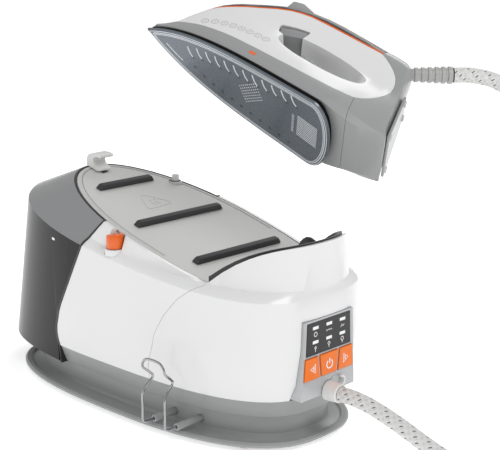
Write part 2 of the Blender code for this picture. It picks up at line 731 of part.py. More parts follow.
def control_panel(base):
    bezel = prism(
        "panel_bezel",
        [
            (-PANEL_HALF_BOTTOM, PANEL_BOTTOM),
            (PANEL_HALF_BOTTOM, PANEL_BOTTOM),
            (PANEL_HALF_TOP, PANEL_TOP),
            (-PANEL_HALF_TOP, PANEL_TOP),
        ],
        0.0068, "silver", base, collection=COLLECTION, axis="X", middle=PANEL_X - 0.0068,
    )
    display = [(-0.0305, 0.0890), (0.0305, 0.0890), (0.0292, 0.1190), (-0.0292, 0.1190)]
    keys = {
        "button_minus": [(-0.0335, 0.0665), (-0.0128, 0.0665), (-0.0150, 0.0868), (-0.0320, 0.0868)],
        "button_power": [(-0.0100, 0.0665), (0.0100, 0.0665), (0.0124, 0.0868), (-0.0124, 0.0868)],
        "button_plus": [(0.0128, 0.0665), (0.0335, 0.0665), (0.0320, 0.0868), (0.0150, 0.0868)],
    }

    def grown(points, by):
        middle = Vector((sum(p[0] for p in points) / 4, sum(p[1] for p in points) / 4))
        return [(a + math.copysign(by, a - middle.x), b + math.copysign(by, b - middle.y)) for a, b in points]

    pocket = prism("cut_display", grown(display, GAP), 0.0010, None, base, axis="X", middle=PANEL_X)
    boolean(bezel, pocket)
    prism("display_window", display, 0.00045, "black", base, collection=COLLECTION, axis="X", middle=PANEL_X - 0.0003)
    for name, points in keys.items():
        hole = prism(f"cut_{name}", grown(points, GAP), 0.02, None, base, axis="X", middle=PANEL_X)
        boolean(bezel, hole)
        key = prism(name, points, 0.0022, "orange", base, collection=COLLECTION, axis="X", middle=PANEL_X - 0.0009)
        soften(key, 0.0004, 1)
    gland_hole = cylinder("cut_gland", (0.18, 0, GLAND_Z), (0.22, 0, GLAND_Z), 0.0066 + GAP, None, base,
                          collection=CUTTERS)
    boolean(bezel, gland_hole)
    box("control_board", (0.1836, -0.0320, 0.0640), (0.1852, 0.0320, 0.1200), "green", base)


def hose_gland(base):
    turned(
        "hose_gland",
        [(0.0042, 0.0150), (0.0078, 0.0150), (0.0086, 0.0140), (0.0094, 0.0004), (0.0066, 0.0004),
         (0.0066, -0.0080), (0.0042, -0.0080), (0.0042, 0.0150)],
        (PANEL_X + GAP, 0, GLAND_Z), (1, 0, 0), "light_grey", base, 28,
    )
    points = [(PANEL_X + 0.0010, 0.0155 + 0.0045 * math.cos(a), 0.0560 + 0.0045 * math.sin(a))
              for a in (math.radians(250 + 220 * i / 10) for i in range(11))]
    tube("hose_eyelet", [Vector(p) + Vector((0.0015, 0, 0)) for p in points], 0.0012, "white", base, 2)


def wire_clip(base):
    left, right, height = 0.0745, 0.1045, 0.0165
    for i, x in enumerate((left, right), 1):
        turned(
            f"clip_socket_{i}",
            [(0.0016, 0.0), (0.0030, 0.0), (0.0034, -0.0006), (0.0034, -0.0430), (0.0016, -0.0430), (0.0016, 0.0)],
            (x, -0.0995, height), (0, -1, 0), "grey", base, 20,
        )
    out, pinch = -0.1125, -0.1010
    mid = (left + right) / 2
    half = (right - left) / 2

    def side(sign):
        x = mid + sign * half
        return [
            (x, -0.0900, height), (x, -0.1085, height), (x, out, height + 0.0025), (x, out, 0.0300), (x, out, 0.0440),
            (x - sign * 0.0010, out + 0.0035, 0.0515), (x - sign * 0.0018, pinch, 0.0590),
            (x - sign * 0.0010, pinch - 0.0035, 0.0640), (x, out + 0.0008, 0.0700), (x - sign * 0.0010, out, 0.0752),
            (x - sign * 0.0050, out, 0.0790), (x - sign * 0.0105, out, 0.0802),
        ]

    route = side(-1) + list(reversed(side(1)))
    tube("wire_clip", smooth_path(route, 0.0032), 0.00125, "chrome", base, 2)


def inner_works(base):
    """Boiler, pump and valve inside the base, between the pan and the rest plate."""
    boiler_axis = (0.045, 0.0, 0.078)
    turned(
        "boiler",
        [(0.0040, 0.0640), (0.0400, 0.0600), (0.0460, 0.0540), (0.0460, -0.0540), (0.0400, -0.0600), (0.0040, -0.0640),
         (0.0040, -0.0620), (0.0392, -0.0580), (0.0440, -0.0530), (0.0440, 0.0530), (0.0392, 0.0580),
         (0.0040, 0.0620), (0.0040, 0.0640)],
        boiler_axis, (1, 0, 0), "steel", base, 32,
    )
    ring = [
        Vector((0.045 + 0.030 * math.cos(a), 0.026 * math.sin(a), 0.0255))
        for a in (math.radians(20 + 320 * i / 20) for i in range(21))
    ]
    tube("boiler_heater", ring, 0.0040, "steel", base, 2)
    cylinder("boiler_thermostat", (0.020, 0, 0.1245), (0.020, 0, 0.1330), 0.0110, "aluminium", base, 20)
    cylinder("steam_valve", (0.1125, 0, 0.0780), (0.1420, 0, 0.0780), 0.0140, "brass", base, 20, 0.001)
    cylinder("pump", (-0.0480, 0.0100, 0.0255), (-0.0480, 0.0620, 0.0255), 0.0170, "grey", base, 20, 0.001)
    cylinder("tank_valve", (-0.0870 - 0.0020, 0, 0.0560), (-0.1010, 0, 0.0560), 0.0080, "black", base, 20)
    tube(
        "feed_pipe",
        smooth_path([(-0.0790, 0.0, 0.0560), (-0.0700, -0.0010, 0.0550), (-0.0610, -0.0060, 0.0480),
                     (-0.0530, -0.0110, 0.0370), (-0.0485, -0.0050, 0.0275), (-0.0480, 0.0095, 0.0255)], 0.006),
        0.0030, "rubber", base, 2,
    )
    tube(
        "steam_pipe",
        smooth_path([(0.1425, 0, 0.0780), (0.1600, 0, 0.0760), (0.1740, 0, 0.0620), (0.1860, 0, 0.0508),
                     (0.1990, 0, GLAND_Z)], 0.006),
        0.0032, "rubber", base, 2,
    )


def mains_gland(base):
    turned(
        "mains_gland",
        [(0.0030, 0.0080), (0.0060, 0.0080), (0.0070, 0.0070), (0.0078, 0.0), (0.0060, 0.0), (0.0060, -0.0100),
         (0.0030, -0.0100), (0.0030, 0.0080)],
        (0.0, 0.0775, 0.0195), (0, 1, 0), "black", base, 24,
    )
    return cylinder("cut_mains", (0.0, 0.06, 0.0195), (0.0, 0.10, 0.0195), 0.0060 + GAP, None, base,
                    collection=CUTTERS)


def base_station(base):
    pan = base_pan(base)
    side, front = housings(base)
    knob_seat(side, base)
    rest_plate(base)
    ridges(base)
    heel_cup_liner(base)
    heel_guide(base)
    gaskets(base)
    water_tank(base)
    nose_catch(base)
    catch_button(base)
    steam_knob(base)
    control_panel(base)
    hose_gland(base)
    wire_clip(base)
    inner_works(base)
    boolean(pan, mains_gland(base))
    for i, x in enumerate((0.0745, 0.1045), 1):
        boolean(pan, cylinder(f"cut_socket_{i}", (x, -0.05, 0.0165), (x, -0.10, 0.0165), 0.0034 + GAP, None, base, 20,
                              collection=CUTTERS))


# Iron.


def widening(share):
    """How wide the sole is, as a share of its full width, from its tip to its widest place."""
    return 0.26 * share + 0.74 * (1 - (1 - share) ** 4)


def sole_outline(inset=0.0, tip=TIP, heel=SOLE_LENGTH / 2, half_width=SOLE_HALF_WIDTH, count=64):
    """Pointed at the tip, widest near the heel, and round at the heel."""
    widest = tip + 0.90 * (heel - tip)
    side = []
    for i in range(1, count // 2):
        share = i / (count / 2)
        if share < 0.42:
            turn = share / 0.42 * math.pi / 2
            x = widest + (heel - widest) * math.cos(turn) ** (2 / 2.1)
            y = half_width * math.sin(turn) ** (2 / 2.1)
        else:
            ahead = (1 - (share - 0.42) / 0.58) ** 1.2
            x = tip + (widest - tip) * ahead
            y = half_width * widening(ahead)
        side.append((x, y))
    outline = [(heel, 0.0)] + side + [(tip, 0.0)] + [(x, -y) for x, y in reversed(side)]
    return shrink(outline, inset) if inset else outline


def underside(x):
    """The shell's lower edge: just above the sole, and rising behind the heel."""
    return SHELL_BOTTOM + 0.0115 * (max(0.0, x - BODY_WIDEST) / (REAR - BODY_WIDEST)) ** 2


def body_half(x, z):
    """Half the body's width at a place: widest above the sole, and as narrow as the grip at the top."""
    if x < BODY_WIDEST:
        low = BODY_HALF_WIDTH * widening(max(0.0, (x - BODY_TIP) / (BODY_WIDEST - BODY_TIP)))
    else:
        low = BODY_HALF_WIDTH - 0.0100 * ((x - BODY_WIDEST) / (REAR - BODY_WIDEST)) ** 1.4
    grip = min(GRIP_HALF_WIDTH, 0.8 * low)
    rise = min(1.0, max(0.0, (z - 0.012) / 0.068))
    half = grip + (low - grip) * (1 - rise**1.3)
    top = along(BODY_TOP, x)
    crown = min(0.014, 0.6 * (top - underside(x)))
    over = max(0.0, (z - top + crown) / crown)
    return half * math.sqrt(1 - 0.88 * over * over)


def body_ring(x):
    """The body's section at x."""
    low, high = underside(x), along(BODY_TOP, x)
    shares = (0.0, 0.05, 0.16, 0.30, 0.45, 0.60, 0.73, 0.83, 0.90, 0.96, 1.0)
    heights = [low + (high - low) * share for share in shares]
    half = [body_half(x, z) for z in heights]
    half[0] *= 0.96 - 0.12 * min(1.0, max(0.0, (x - BODY_WIDEST) / 0.03))
    return [Vector((x, -y, z)) for y, z in zip(half, heights)] + [
        Vector((x, y, z)) for y, z in reversed(list(zip(half, heights)))
    ]


def body(name, finish, iron, collection=COLLECTION):
    """The whole of the iron above its sole, from which each of its shells is cut."""
    stations = [-0.1080, -0.1040, -0.0980, -0.0920, -0.0885, -0.0862, -0.0840, -0.0798, -0.0755, -0.0702, -0.0650,
                -0.0595, -0.0540, -0.0460, -0.0380, -0.0300, -0.0220, -0.0150, -0.0080, -0.0015, 0.0050, 0.0200,
                0.0365, 0.0520, 0.0680, 0.0800, 0.0890, 0.0960, 0.1030, 0.1100, 0.1135, 0.1165, 0.1185, 0.1205,
                0.1250, 0.1310, 0.1370, 0.1430, 0.1490, 0.1535, REAR - 0.0010]
    return loft(name, [body_ring(x) for x in stations], finish, iron, collection=collection)


def offset_line(line, by):
    """A line of (x, z) corners moved square to itself."""
    moved = []
    for i, (x, z) in enumerate(line):
        a, b = line[max(0, i - 1)], line[min(len(line) - 1, i + 1)]
        step = Vector((b[0] - a[0], b[1] - a[1])).normalized()
        moved.append((x - step.y * by, z + step.x * by))
    return moved


def finger_hole(iron):
    """The opening of the handle, wider towards its two mouths."""
    rings = []
    for y, grow in ((-0.060, 0.0080), (-0.034, 0.0040), (-0.024, 0.0018), (-0.015, 0.0005), (-0.006, 0.0),
                    (0.006, 0.0), (0.015, 0.0005), (0.024, 0.0018), (0.034, 0.0040), (0.060, 0.0080)):
        outline = superellipse(0.0465 + grow, 0.0455 + grow, 0.0145 + 0.8 * grow, 2.4, 0.0520, 40)
        rings.append([Vector((x, y, 0.0628 + z + 0.030 * (x - 0.052))) for x, z in outline])
    return loft("cut_finger_hole", rings, None, iron, collection=CUTTERS)


def iron_cavity(iron):
    return loft(
        "cut_iron_cavity",
        [
            level(sole_outline(0.0, -0.0850, 0.1010, 0.0328, 40), 0.0),
            level(sole_outline(0.0, -0.0850, 0.1010, 0.0328, 40), 0.0195),
            level(sole_outline(0.0, -0.0740, 0.0960, 0.0265, 40), 0.0245),
        ],
        None, iron, collection=CUTTERS,
    )


def soleplate(iron):
    rings = [
        level(sole_outline(0.0016), 0.0),
        level(sole_outline(0.0002), 0.0009),
        level(sole_outline(), SOLE_THICK - 0.0004),
        level(sole_outline(0.0006), SOLE_THICK),
    ]
    loft("soleplate", rings, "sole", iron)
    rings = [
        level(sole_outline(0.0036), SOLE_THICK + GAP),
        level(sole_outline(0.0024), 0.0045),
        level(sole_outline(0.0024), SHELL_BOTTOM - 0.0008),
        level(sole_outline(0.0036), SHELL_BOTTOM - GAP),
    ]
    loft("heat_shield", rings, "black", iron)
    rings = [
        level(sole_outline(0.0, -0.0800, 0.0985, 0.0312, 40), SHELL_BOTTOM),
        level(sole_outline(0.0, -0.0800, 0.0985, 0.0312, 40), 0.0150),
        level(sole_outline(0.0, -0.0700, 0.0930, 0.0250, 40), 0.0185),
    ]
    loft("heater_block", rings, "aluminium", iron)


def iron_shells(iron):
    """Grey lower shell, grey rear cover, white handle shell, orange line and black trim: one surface, five pieces."""
    cavity = iron_cavity(iron)
    hole = finger_hole(iron)
    shell_line = list(SHELL_TOP)
    bulb = list(HANDLE_REAR)
    shell = body("lower_shell", "grey", iron)
    seam_top = shell_line[-1]
    keep = [(-0.13, 0.0), (SHELL_SEAM, 0.0)] + list(reversed(shell_line)) + [(-0.0892, 0.0176), (-0.0892, 0.0300), (-0.13, 0.0300)]
    boolean(shell, prism("form_lower_shell", keep, 0.1, None, iron), "INTERSECT")
    boolean(shell, cavity)

    handle = body("handle_shell", "white", iron)
    stripe_low = offset_line(STRIPE, -0.0009 - GAP / 2)
    outline = offset_line(shell_line, GAP) + bulb[1:] + list(reversed(stripe_low))
    boolean(handle, prism("form_handle", outline, 0.1, None, iron), "INTERSECT")
    boolean(handle, hole)
    boolean(handle, cavity)

    strip = body("accent_strip", "orange", iron)
    band = offset_line(STRIPE, -0.0009 + GAP / 2) + list(reversed(offset_line(STRIPE, 0.0009)))
    boolean(strip, prism("form_strip", band, 0.1, None, iron), "INTERSECT")

    trim = body("handle_top_trim", "black", iron)
    above = offset_line(STRIPE, 0.0009 + GAP) + [(STRIPE[-1][0], 0.13), (STRIPE[0][0], 0.13)]
    boolean(trim, prism("form_trim", above, 0.1, None, iron), "INTERSECT")

    cover = body("rear_cover", "grey", iron)
    around = offset_line(bulb, -GAP)
    cover_outline = [(SHELL_SEAM + GAP, 0.0), (0.2, 0.0), (0.2, 0.13), (COVER_START, 0.13)]
    cover_outline += [(COVER_START, along(tuple(reversed(around[-3:])), COVER_START))]
    cover_outline += [p for p in reversed(around) if p[0] > COVER_START and p[1] > seam_top[1] + 0.002]
    cover_outline += [(seam_top[0] + GAP, seam_top[1])]
    boolean(cover, prism("form_rear_cover", cover_outline, 0.1, None, iron), "INTERSECT")
    return shell, handle, strip, trim, cover


def top_button(iron, pieces):
    pocket = box("cut_button_pocket", (-0.0270, -0.0062, 0.0950), (0.0005, 0.0062, 0.130), None, iron,
                 collection=CUTTERS)
    for piece in pieces:
        boolean(piece, pocket)
    button = prism(
        "steam_button",
        [(-0.0266, 0.0985), (0.0001, 0.0985), (0.0001, 0.1170), (-0.0015, 0.1205), (-0.0165, 0.1238), (-0.0266, 0.1200)],
        0.0058, "grey", iron, collection=COLLECTION,
    )
    soften(button, 0.0012)


def steam_trigger(iron, handle):
    outline = [
        (-0.0050, 0.0728), (-0.0044, 0.0744), (0.0066, 0.0800), (0.0187, 0.0838), (0.0200, 0.0834), (0.0198, 0.0765),
        (0.0190, 0.0752), (0.0088, 0.0699), (0.0013, 0.0661), (-0.0006, 0.0664),
    ]
    pocket = [
        (-0.0056, 0.0725), (-0.0054, 0.0765), (0.0064, 0.0826), (0.0186, 0.0864), (0.0206, 0.0862), (0.0206, 0.0720),
        (0.0120, 0.0640), (0.0060, 0.0635), (-0.0012, 0.0650),
    ]
    boolean(handle, prism("cut_trigger_pocket", pocket, 0.03, None, iron))
    trigger = prism("steam_trigger", outline, 0.0180, "grey", iron, collection=COLLECTION)
    soften(trigger, 0.0012)


def temperature_dial(iron, shell, handle):
    x = DIAL_X
    boolean(handle, cylinder("cut_dial_seat", (x, 0, DIAL_Z - 0.0008), (x, 0, DIAL_Z + 0.02), 0.0218, None, iron, 40,
                             collection=CUTTERS))
    hole = cylinder("cut_dial_hole", (x, 0, 0.010), (x, 0, 0.060), 0.0034, None, iron, 16, collection=CUTTERS)
    boolean(shell, hole)
    boolean(handle, hole)
    teeth = 30
    outline = []
    for i in range(2 * teeth):
        radius = 0.0212 if i % 2 else 0.0205
        outline.append((x + radius * math.cos(math.pi * i / teeth), radius * math.sin(math.pi * i / teeth)))
    rings = [level(shrink(outline, 0.0010), DIAL_Z), level(outline, DIAL_Z + 0.0010), level(outline, DIAL_Z + 0.0085),
             level(shrink(outline, 0.0020), DIAL_Z + 0.0120)]
    loft("temperature_dial", rings, "grey", iron)
    cylinder("dial_shaft", (x, 0, 0.0232), (x, 0, DIAL_Z - GAP), 0.0030, "steel", iron, 16)
    cylinder("sole_thermostat", (x, 0, 0.0188), (x, 0, 0.0229), 0.0100, "brass", iron, 20)


def rear_fittings(iron, pieces):
    """The plate that the iron stands on when it is set on its heel, the hose's boot, and the pipe inside."""
    lean = math.atan2(0.0365, 0.0935)
    bm = bmesh.new()
    bmesh.ops.create_cube(bm, size=1.0)
    bmesh.ops.scale(bm, vec=(0.0026, 0.0560, 0.0640), verts=bm.verts)
    bmesh.ops.translate(bm, vec=(0.0013, 0, 0.0370), verts=bm.verts)
    for v in bm.verts:
        if v.co.z > 0.037:
            v.co.y *= 0.5
    plate = mesh_object("heel_rest", bm, "light_grey", iron, smooth=False)
    plate.matrix_basis = Matrix.Translation((REAR + 0.0004, 0, 0.0185)) @ Matrix.Rotation(-lean, 4, "Y")
    soften(plate, 0.0006, 1)
    cover = pieces[-1]
    inner = BOOT_FOOT - BOOT_AXIS * 0.010
    boolean(cover, cylinder("form_boot_seat", inner, BOOT_FOOT - BOOT_AXIS * GAP, 0.0088, None, iron, 24,
                            collection=CUTTERS), "UNION")
    boolean(cover, cylinder("cut_boot_room", BOOT_FOOT, BOOT_FOOT + BOOT_AXIS * 0.03, 0.0090, None, iron, 24,
                            collection=CUTTERS))
    boolean(cover, cylinder("cut_boot", inner, BOOT_FOOT + BOOT_AXIS * 0.02, 0.0052 + GAP, None, iron, 24,
                            collection=CUTTERS))
    profile = [(0.0046, 0.0420), (0.0082, 0.0420), (0.0084, 0.0380), (0.0070, 0.0376), (0.0070, 0.0356)]
    for i in range(5):
        z, r = 0.0350 - 0.0064 * i, 0.0082 - 0.0003 * i
        profile += [(r, z), (r, z - 0.0030), (r - 0.0012, z - 0.0036), (r - 0.0012, z - 0.0058)]
    profile += [(0.0066, 0.0026), (0.0066, 0.0004), (0.0050, 0.0004), (0.0050, -0.0080), (0.0030, -0.0080),
                (0.0030, 0.0300), (0.0046, 0.0300), (0.0046, 0.0420)]
    turned("cord_boot", profile, BOOT_FOOT, BOOT_AXIS, "light_grey", iron, 20)
    low, high = Vector((0.0960, 0, 0.0205)), Vector((0.1110, 0, 0.1010))
    reach = (high - low).normalized() * 0.006
    tunnel = cylinder("cut_pipe", low - reach, high + reach, 0.0031, None, iron, 16, collection=CUTTERS)
    for piece in pieces:
        boolean(piece, tunnel)
    cylinder("iron_steam_pipe", low, high, 0.0027, "rubber", iron, 16)


BOOT_AXIS = Vector((0.755, 0.0, 0.656)).normalized()
BOOT_FOOT = Vector((0.1125, 0.0, 0.1185))


def hand_iron(iron):
    soleplate(iron)
    shell, handle, strip, trim, cover = iron_shells(iron)
    top_button(iron, (handle, strip, trim))
    steam_trigger(iron, handle)
    temperature_dial(iron, shell, handle)
    rear_fittings(iron, (shell, handle, cover))


# Steam hose, in world coordinates.


def hose(base):
    """The stretch from the base, the coil on the floor, and the stretch that rises to the iron's boot."""
    tube("hose_base_run", smooth_path(BASE_RUN, 0.030), HOSE_RADIUS, "hose", base, 2)
    tube("hose_riser", smooth_path(RISER, 0.030), HOSE_RADIUS, "hose", base, 2)
    r, w, h = COIL_RADIUS, COIL_HALF_WIDTH, COIL_HEIGHT
    profile = [(r - 0.3 * w, h), (r + 0.3 * w, h), (r + 0.8 * w, 0.6 * h), (r + w, 0.3 * h), (r + 0.75 * w, 0.0005),
               (r - 0.75 * w, 0.0005), (r - w, 0.3 * h), (r - 0.8 * w, 0.6 * h), (r - 0.3 * w, h)]
    turned("hose_coil", profile, (COIL_X, COIL_Y, 0.0), (0, 0, 1), "hose", base, 40)


start()
FINISH = finishes()
BASE = empty("base_frame", None, Matrix.Translation((BASE_X, BASE_Y, 0.0)))
base_station(BASE)
PARKED = Matrix.Translation(
    (PARKED_TIP_X + SOLE_LENGTH / 2 * math.cos(PLATE_TILT), 0.0,
     plate_face(PARKED_TIP_X + SOLE_LENGTH / 2 * math.cos(PLATE_TILT)) + RIDGE_HEIGHT + 2 * GAP)
) @ Matrix.Rotation(PLATE_TILT, 4, "Y")
CARRY = empty("carry_axis", BASE, Matrix.Translation(CARRY_POINT) @ Matrix.Rotation(CARRY_ANGLE, 4, CARRY_AXIS))
IRON = empty("iron_frame", CARRY, Matrix.Translation(-CARRY_POINT) @ PARKED)
hand_iron(IRON)
hose(BASE)
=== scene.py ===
"""Looks of the steam generator iron: camera, light, hose, fine detail and materials on the shared frame."""

import math

import bmesh
import bpy
from mathutils import Matrix, Vector


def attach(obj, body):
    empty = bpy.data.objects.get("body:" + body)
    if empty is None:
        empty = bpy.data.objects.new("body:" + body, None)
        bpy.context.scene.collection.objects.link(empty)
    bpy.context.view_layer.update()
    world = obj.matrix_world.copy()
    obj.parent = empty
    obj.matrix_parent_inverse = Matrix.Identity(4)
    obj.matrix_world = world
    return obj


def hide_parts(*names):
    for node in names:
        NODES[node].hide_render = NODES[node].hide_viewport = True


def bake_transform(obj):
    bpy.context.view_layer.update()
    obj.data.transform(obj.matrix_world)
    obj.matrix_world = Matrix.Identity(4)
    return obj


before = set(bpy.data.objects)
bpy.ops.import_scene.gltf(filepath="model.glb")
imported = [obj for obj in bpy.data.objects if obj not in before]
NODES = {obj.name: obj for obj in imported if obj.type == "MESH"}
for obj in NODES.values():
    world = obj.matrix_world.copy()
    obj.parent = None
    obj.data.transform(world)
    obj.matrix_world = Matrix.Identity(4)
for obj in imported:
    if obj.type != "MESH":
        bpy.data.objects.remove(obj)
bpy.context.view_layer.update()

SHIFT = Vector((-0.00390, -0.02594, 0.0))  # from the base station's own origin to the frame's
PLATE_TILT = math.radians(14.65)
PLATE_HEIGHT = 0.1812  # the height of the plate's face at the base station's own origin
PANEL_FACE = 0.20050
MIX_A, MIX_B, MIX_OUT = 6, 7, 2  # the colour sockets of a Mix node


def place(x, y, z):
    """A point of the base station, in the frame."""
    return Vector((x, y, z)) + SHIFT


def plate_face(x):
    """The height of the rest plate's face at x."""
    return PLATE_HEIGHT - math.tan(PLATE_TILT) * x


def iron_matrix():
    """Where the iron's own frame stands when held up: parked on the plate, then carried about one axis."""
    tip, half_sole, gap = -0.1015, 0.111, 0.0059
    middle = tip + half_sole * math.cos(PLATE_TILT)
    parked = Matrix.Translation((middle, 0, plate_face(middle) + gap)) @ Matrix.Rotation(PLATE_TILT, 4, "Y")
    point = Vector((0.0, 0.1245, 0.2655))
    axis = Vector((-0.8808, 0.0677, 0.4686)).normalized()
    turn = math.radians(63.86)
    carry = Matrix.Translation(point) @ Matrix.Rotation(turn, 4, axis) @ Matrix.Translation(-point)
    return Matrix.Translation(SHIFT) @ carry @ parked


IRON = iron_matrix()
PLATE = (
    Matrix.Translation(SHIFT)
    @ Matrix.Translation((0, 0, plate_face(0)))
    @ Matrix.Rotation(PLATE_TILT, 4, "Y")
)
PANEL = Matrix.Translation(SHIFT + Vector((PANEL_FACE, 0, 0))) @ Matrix(
    ((0, 0, 1, 0), (1, 0, 0, 0), (0, 1, 0, 0), (0, 0, 0, 1))
)


# Camera and light.


def camera():
    """The main view: from the panel's corner, a little from above."""
    data = bpy.data.cameras.new("camera")
    data.lens = 91.08
    data.clip_end = 60
    obj = bpy.data.objects.new("camera", data)
    bpy.context.scene.collection.objects.link(obj)
    azimuth, down = math.radians(43.73), math.radians(13.78)
    obj.location = Vector((0.8947, -0.8281, 0.4688)) + SHIFT
    level = math.cos(down)
    forward = Vector((-math.sin(azimuth) * level, math.cos(azimuth) * level, -math.sin(down)))
    obj.rotation_mode = "QUATERNION"
    obj.rotation_quaternion = forward.to_track_quat("-Z", "Y")
    bpy.context.scene.camera = obj


def area(name, location, target, size, watts):
    """A round soft light aimed at a target."""
    data = bpy.data.lights.new(name, "AREA")
    data.shape = "DISK"
    data.size = size
    data.energy = watts
    obj = bpy.data.objects.new(name, data)
    bpy.context.scene.collection.objects.link(obj)
    obj.location = location
    obj.rotation_mode = "QUATERNION"
    obj.rotation_quaternion = (Vector(target) - Vector(location)).to_track_quat("-Z", "Y")


def studio():
    """White surroundings, three soft lights and a pale floor."""
    scene = bpy.context.scene
    scene.view_settings.view_transform = "Standard"
    world = bpy.data.worlds.new("studio")
    world.use_nodes = True
    world.node_tree.nodes["Background"].inputs["Color"].default_value = (1, 1, 1, 1)
    world.node_tree.nodes["Background"].inputs["Strength"].default_value = 0.55
    scene.world = world
    area("key", (1.5, -0.2, 1.9), (0.1, 0.0, 0.15), 1.2, 16)
    area("left", (-1.0, -1.7, 0.9), (0.0, 0.0, 0.15), 1.4, 5)
    area("back", (-0.6, 1.8, 1.6), (0.0, 0.0, 0.2), 1.4, 9)
    bm = bmesh.new()
    bmesh.ops.create_grid(bm, x_segments=1, y_segments=1, size=20)
    mesh = bpy.data.meshes.new("floor")
    bm.to_mesh(mesh)
    bm.free()
    floor = bpy.data.objects.new("floor", mesh)
    bpy.context.scene.collection.objects.link(floor)
    floor.location.z = -0.0004
    mat = bpy.data.materials.new("floor")
    mat.use_nodes = True
    shader = mat.node_tree.nodes["Principled BSDF"]
    shader.inputs["Base Color"].default_value = (0.96, 0.96, 0.96, 1)
    shader.inputs["Roughness"].default_value = 0.9
    shader.inputs["Specular IOR Level"].default_value = 0.1
    shader.inputs["Emission Color"].default_value = (1, 1, 1, 1)
    shader.inputs["Emission Strength"].default_value = 0.50
    mesh.materials.append(mat)


# Materials.


def node(tree, kind, **values):
    """A shader node, with each value set on the input of that name, or else on the node itself."""
    made = tree.nodes.new(kind)
    for key, value in values.items():
        if key in made.inputs:
            made.inputs[key].default_value = value
        else:
            setattr(made, key, value)
    return made


def surface(name, colour, rough, grain=900.0, bump=0.03, spread=0.05, metal=0.0, coat=0.0, vary=0.04,
            specular=0.5):
    """A plastic, rubber or metal: its colour drifts a little, and its gloss and its grain come from noise."""
    mat = bpy.data.materials.new(name)
    mat.use_nodes = True
    tree = mat.node_tree
    shader = tree.nodes["Principled BSDF"]
    shader.inputs["Metallic"].default_value = metal
    shader.inputs["Coat Weight"].default_value = coat
    shader.inputs["Coat Roughness"].default_value = 0.06
    shader.inputs["Specular IOR Level"].default_value = specular
    coords = node(tree, "ShaderNodeTexCoord")
    fine = node(tree, "ShaderNodeTexNoise", Scale=grain, Detail=3.0)
    broad = node(tree, "ShaderNodeTexNoise", Scale=14.0, Detail=2.0)
    tree.links.new(coords.outputs["Object"], fine.inputs["Vector"])
    tree.links.new(coords.outputs["Object"], broad.inputs["Vector"])
    mix = node(tree, "ShaderNodeMix", data_type="RGBA")
    mix.inputs[MIX_A].default_value = tuple(c * (1 - vary) for c in colour) + (1,)
    mix.inputs[MIX_B].default_value = tuple(min(1.0, c * (1 + vary)) for c in colour) + (1,)
    tree.links.new(broad.outputs["Fac"], mix.inputs[0])
    tree.links.new(mix.outputs[MIX_OUT], shader.inputs["Base Color"])
    gloss = node(tree, "ShaderNodeMapRange")
    gloss.inputs["To Min"].default_value = max(0.02, rough - spread)
    gloss.inputs["To Max"].default_value = min(1.0, rough + spread)
    tree.links.new(fine.outputs["Fac"], gloss.inputs["Value"])
    tree.links.new(gloss.outputs["Result"], shader.inputs["Roughness"])
    relief = node(tree, "ShaderNodeBump", Strength=bump, Distance=0.0004)
    tree.links.new(fine.outputs["Fac"], relief.inputs["Height"])
    tree.links.new(relief.outputs["Normal"], shader.inputs["Normal"])
    return mat


def braid():
    """White braid in diamonds, with short black dashes, wound on the tube's own length and girth."""
    mat = surface("braided_hose", (0.80, 0.80, 0.79), 0.75, 1500, 0.05, 0.1)
    tree = mat.node_tree
    shader = tree.nodes["Principled BSDF"]
    coords = node(tree, "ShaderNodeUVMap", uv_map="UVMap")
    split = node(tree, "ShaderNodeSeparateXYZ")
    tree.links.new(coords.outputs["UV"], split.inputs["Vector"])

    def maths(kind, a, b=0.0):
        made = node(tree, "ShaderNodeMath", operation=kind)
        for i, value in enumerate((a, b)):
            if isinstance(value, (int, float)):
                made.inputs[i].default_value = value
            else:
                tree.links.new(value, made.inputs[i])
        return made.outputs[0]

    strands_round, strands_per_metre = 6.0, 130.0
    dash_wide, dash_long = 0.16, 0.30
    around = maths("MULTIPLY", split.outputs["X"], strands_round)
    ahead = maths("MULTIPLY", split.outputs["Y"], strands_per_metre)
    one = maths("ADD", ahead, around)
    two = maths("SUBTRACT", ahead, around)
    cross = maths("MULTIPLY", maths("PINGPONG", one, 0.5), maths("PINGPONG", two, 0.5))
    height = maths("MULTIPLY", cross, 4.0)
    dash_a = maths("LESS_THAN", maths("FRACT", one), dash_wide)
    dash_b = maths("LESS_THAN", maths("FRACT", maths("MULTIPLY", two, 0.5)), dash_long)
    dash = maths("MULTIPLY", dash_a, dash_b)
    mix = node(tree, "ShaderNodeMix", data_type="RGBA")
    mix.inputs[MIX_A].default_value = (0.70, 0.70, 0.69, 1)
    mix.inputs[MIX_B].default_value = (0.02, 0.02, 0.02, 1)
    tree.links.new(dash, mix.inputs[0])
    tree.links.new(mix.outputs[MIX_OUT], shader.inputs["Base Color"])
    relief = node(tree, "ShaderNodeBump", Strength=1.0, Distance=0.0014)
    tree.links.new(height, relief.inputs["Height"])
    tree.links.new(relief.outputs["Normal"], shader.inputs["Normal"])
    return mat


